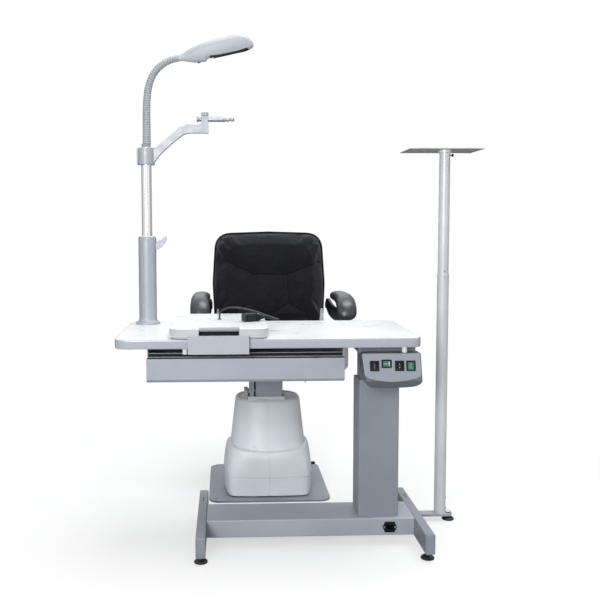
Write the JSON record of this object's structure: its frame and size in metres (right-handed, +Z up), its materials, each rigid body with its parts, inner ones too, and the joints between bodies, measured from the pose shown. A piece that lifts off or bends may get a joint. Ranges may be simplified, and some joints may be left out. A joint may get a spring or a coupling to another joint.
{
  "type": "ophthalmic examination unit",
  "caption": "Motor-lift instrument table with a sliding board, lamp and refractor pole, drawer, switch box, projector stand and a swivelling patient chair.",
  "frame": {"origin": "middle of the underside of the chair's base plate, on the floor", "axes": "+Z up; +Y from the instrument table towards the back of the patient chair; +X towards the projector stand"},
  "size_m": [1.3125, 1.1995, 1.8233],
  "materials": {
    "paint": "bluish grey satin powder coat",
    "pale_paint": "pale grey satin powder coat",
    "stand_paint": "off-white powder coat",
    "shelf_paint": "warm grey powder coat",
    "laminate": "white laminate on a chipboard core",
    "edge_plastic": "grey plastic edge band",
    "cover_plastic": "light grey moulded plastic",
    "lamp_plastic": "light bluish grey moulded plastic",
    "white_plastic": "white plastic",
    "black_plastic": "black plastic",
    "green_lens": "green lit rocker",
    "chrome": "bright chrome",
    "steel": "machined steel",
    "rubber": "black rubber",
    "fabric": "near-black woven upholstery",
    "leather": "black skinned foam with a soft sheen"
  },
  "bodies": {
    "base": {"foot_bar_left": "paint", "foot_bar_right": "paint", "cross_beam": "paint", "power_inlet": "black_plastic", "column_sleeve": "paint", "lift_actuator": "steel", "stand_outrigger": "paint", "stand_lower_tube": "stand_paint", "chair_base_plate": "paint", "chair_mast": "steel", "chair_lower_cover": "cover_plastic", "chair_upper_cover": "cover_plastic"},
    "foot_front_left": {"levelling_foot_front_left": "rubber"},
    "foot_front_right": {"levelling_foot_front_right": "rubber"},
    "foot_rear_left": {"levelling_foot_rear_left": "rubber"},
    "foot_rear_right": {"levelling_foot_rear_right": "rubber"},
    "foot_stand": {"stand_levelling_foot": "rubber"},
    "table": {"inner_column": "pale_paint", "actuator_rod": "chrome", "column_head": "paint", "tabletop": "laminate", "edge_band": "edge_plastic", "drawer_cabinet": "paint", "front_rail": "pale_paint", "bumper_left": "white_plastic", "bumper_right": "white_plastic", "control_box": "paint", "control_fascia": "paint", "pole_sleeve": "paint"},
    "drawer": {"drawer_front": "paint", "drawer_tray": "paint"},
    "carriage": {"board_carriage": "pale_paint", "instrument_board": "laminate", "instrument_cord": "rubber"},
    "latch": {"board_latch": "pale_paint"},
    "table_switch": {"table_rocker": "black_plastic"},
    "projector_switch": {"projector_rocker": "green_lens"},
    "chair_switch": {"chair_rocker": "black_plastic"},
    "power_switch": {"power_rocker": "green_lens"},
    "pole": {"pole_tube": "chrome"},
    "pole_clamp": {"clamp_lever": "paint"},
    "arm": {"refractor_arm": "paint"},
    "arm_clamp": {"arm_cap": "steel"},
    "rod": {"holder_rod": "steel"},
    "neck_base": {"neck_lower": "paint"},
    "neck_top": {"neck_upper": "paint"},
    "lamp": {"lamp_shell": "lamp_plastic", "lamp_lens": "white_plastic"},
    "lamp_button": {"lamp_switch": "black_plastic"},
    "stand_top": {"stand_upper_tube": "stand_paint"},
    "shelf": {"projector_shelf": "shelf_paint"},
    "shelf_clamp": {"shelf_screw": "black_plastic"},
    "chair_lift": {"chair_column": "paint"},
    "seat": {"seat_pan": "steel", "seat_cushion": "fabric", "backrest": "fabric"},
    "arm_left": {"armrest_left": "leather"},
    "arm_right": {"armrest_right": "leather"},
    "pedal": {"chair_pedal": "black_plastic"},
    "lift_lever": {"chair_lever": "steel"}
  },
  "joints": [
    {"name": "foot_front_left_turn", "type": "hinge", "parent": "base", "child": "foot_front_left", "pos_m": [-0.264, -0.8135, 0], "axis": [0, 0, 1], "continuous": true},
    {"name": "foot_front_right_turn", "type": "hinge", "parent": "base", "child": "foot_front_right", "pos_m": [0.5, -0.8135, 0], "axis": [0, 0, 1], "continuous": true},
    {"name": "foot_rear_left_turn", "type": "hinge", "parent": "base", "child": "foot_rear_left", "pos_m": [-0.264, -0.4105, 0], "axis": [0, 0, 1], "continuous": true},
    {"name": "foot_rear_right_turn", "type": "hinge", "parent": "base", "child": "foot_rear_right", "pos_m": [0.5, -0.4105, 0], "axis": [0, 0, 1], "continuous": true},
    {"name": "foot_stand_turn", "type": "hinge", "parent": "base", "child": "foot_stand", "pos_m": [0.6695, -0.462, 0], "axis": [0, 0, 1], "continuous": true},
    {"name": "table_lift", "type": "slide", "parent": "base", "child": "table", "axis": [0, 0, 1], "range_m": [-0.08, 0.15]},
    {"name": "drawer_slide", "type": "slide", "parent": "table", "child": "drawer", "axis": [0, -1, 0], "range_m": [0, 0.28]},
    {"name": "board_slide", "type": "slide", "parent": "table", "child": "carriage", "axis": [1, 0, 0], "range_m": [0, 0.495]},
    {"name": "latch_lift", "type": "hinge", "parent": "carriage", "child": "latch", "pos_m": [-0.199, -0.84, 0.79], "axis": [1, 0, 0], "range_deg": [-12, 0], "stiffness_Nm_per_rad": 0.6},
    {"name": "table_switch_rock", "type": "hinge", "parent": "table", "child": "table_switch", "pos_m": [0.3035, -0.8673, 0.6676], "axis": [1, 0, 0], "range_deg": [-6, 6], "stiffness_Nm_per_rad": 0.3},
    {"name": "projector_switch_rock", "type": "hinge", "parent": "table", "child": "projector_switch", "pos_m": [0.343, -0.8657, 0.6744], "axis": [0, 0.2299, 0.9732], "range_deg": [-6, 6]},
    {"name": "chair_switch_rock", "type": "hinge", "parent": "table", "child": "chair_switch", "pos_m": [0.385, -0.8673, 0.6676], "axis": [1, 0, 0], "range_deg": [-6, 6], "stiffness_Nm_per_rad": 0.3},
    {"name": "power_switch_rock", "type": "hinge", "parent": "table", "child": "power_switch", "pos_m": [0.422, -0.8673, 0.6676], "axis": [1, 0, 0], "range_deg": [-6, 6]},
    {"name": "pole_slide", "type": "slide", "parent": "table", "child": "pole", "axis": [0, 0, 1], "range_m": [-0.1, 0.15]},
    {"name": "pole_clamp_turn", "type": "hinge", "parent": "table", "child": "pole_clamp", "pos_m": [-0.435, -0.422, 1.055], "axis": [1, 0, 0], "range_deg": [-60, 60]},
    {"name": "arm_swing", "type": "hinge", "parent": "pole", "child": "arm", "pos_m": [-0.469, -0.422, 1.38], "axis": [0, 0, 1], "range_deg": [-90, 90]},
    {"name": "arm_clamp_turn", "type": "hinge", "parent": "arm", "child": "arm_clamp", "pos_m": [-0.251, -0.422, 1.535], "axis": [0, 0, 1], "continuous": true},
    {"name": "rod_slide", "type": "slide", "parent": "arm", "child": "rod", "axis": [1, 0, 0], "range_m": [-0.04, 0]},
    {"name": "neck_turn", "type": "hinge", "parent": "pole", "child": "neck_base", "pos_m": [-0.469, -0.422, 1.43], "axis": [0, 0, 1], "range_deg": [-120, 120]},
    {"name": "neck_bend", "type": "hinge", "parent": "neck_base", "child": "neck_top", "pos_m": [-0.467, -0.422, 1.5641], "axis": [0, 1, 0], "range_deg": [-12, 12]},
    {"name": "lamp_tilt", "type": "hinge", "parent": "neck_top", "child": "lamp", "pos_m": [-0.338, -0.422, 1.74], "axis": [0, 1, 0], "range_deg": [-15, 15]},
    {"name": "lamp_button_press", "type": "slide", "parent": "lamp", "child": "lamp_button", "axis": [-0.2163, 0, 0.9763], "range_m": [0, 0.002], "stiffness_N_per_m": 400},
    {"name": "stand_extend", "type": "slide", "parent": "base", "child": "stand_top", "axis": [0, 0, 1], "range_m": [0, 0.25]},
    {"name": "shelf_turn", "type": "hinge", "parent": "stand_top", "child": "shelf", "pos_m": [0.6375, -0.462, 1.4], "axis": [0, 0, 1], "continuous": true},
    {"name": "shelf_clamp_turn", "type": "hinge", "parent": "stand_top", "child": "shelf_clamp", "pos_m": [0.658, -0.462, 1.382], "axis": [1, 0, 0], "continuous": true},
    {"name": "chair_height", "type": "slide", "parent": "base", "child": "chair_lift", "axis": [0, 0, 1], "range_m": [0, 0.15]},
    {"name": "chair_swivel", "type": "hinge", "parent": "chair_lift", "child": "seat", "pos_m": [0, -0.047, 0.49], "axis": [0, 0, 1], "range_deg": [-25, 25]},
    {"name": "arm_left_fold", "type": "hinge", "parent": "seat", "child": "arm_left", "pos_m": [-0.282, 0.162, 0.767], "axis": [-1, 0, 0], "range_deg": [0, 85]},
    {"name": "arm_right_fold", "type": "hinge", "parent": "seat", "child": "arm_right", "pos_m": [0.32, 0.162, 0.767], "axis": [-1, 0, 0], "range_deg": [0, 85]},
    {"name": "pedal_press", "type": "hinge", "parent": "base", "child": "pedal", "pos_m": [0.158, 0.06, 0.067], "axis": [0, 1, 0], "range_deg": [0, 12], "stiffness_Nm_per_rad": 4},
    {"name": "lift_lever_pull", "type": "hinge", "parent": "chair_lift", "child": "lift_lever", "pos_m": [-0.079, -0.09, 0.437], "axis": [0, 1, 0], "range_deg": [-8, 12]}
  ]
}
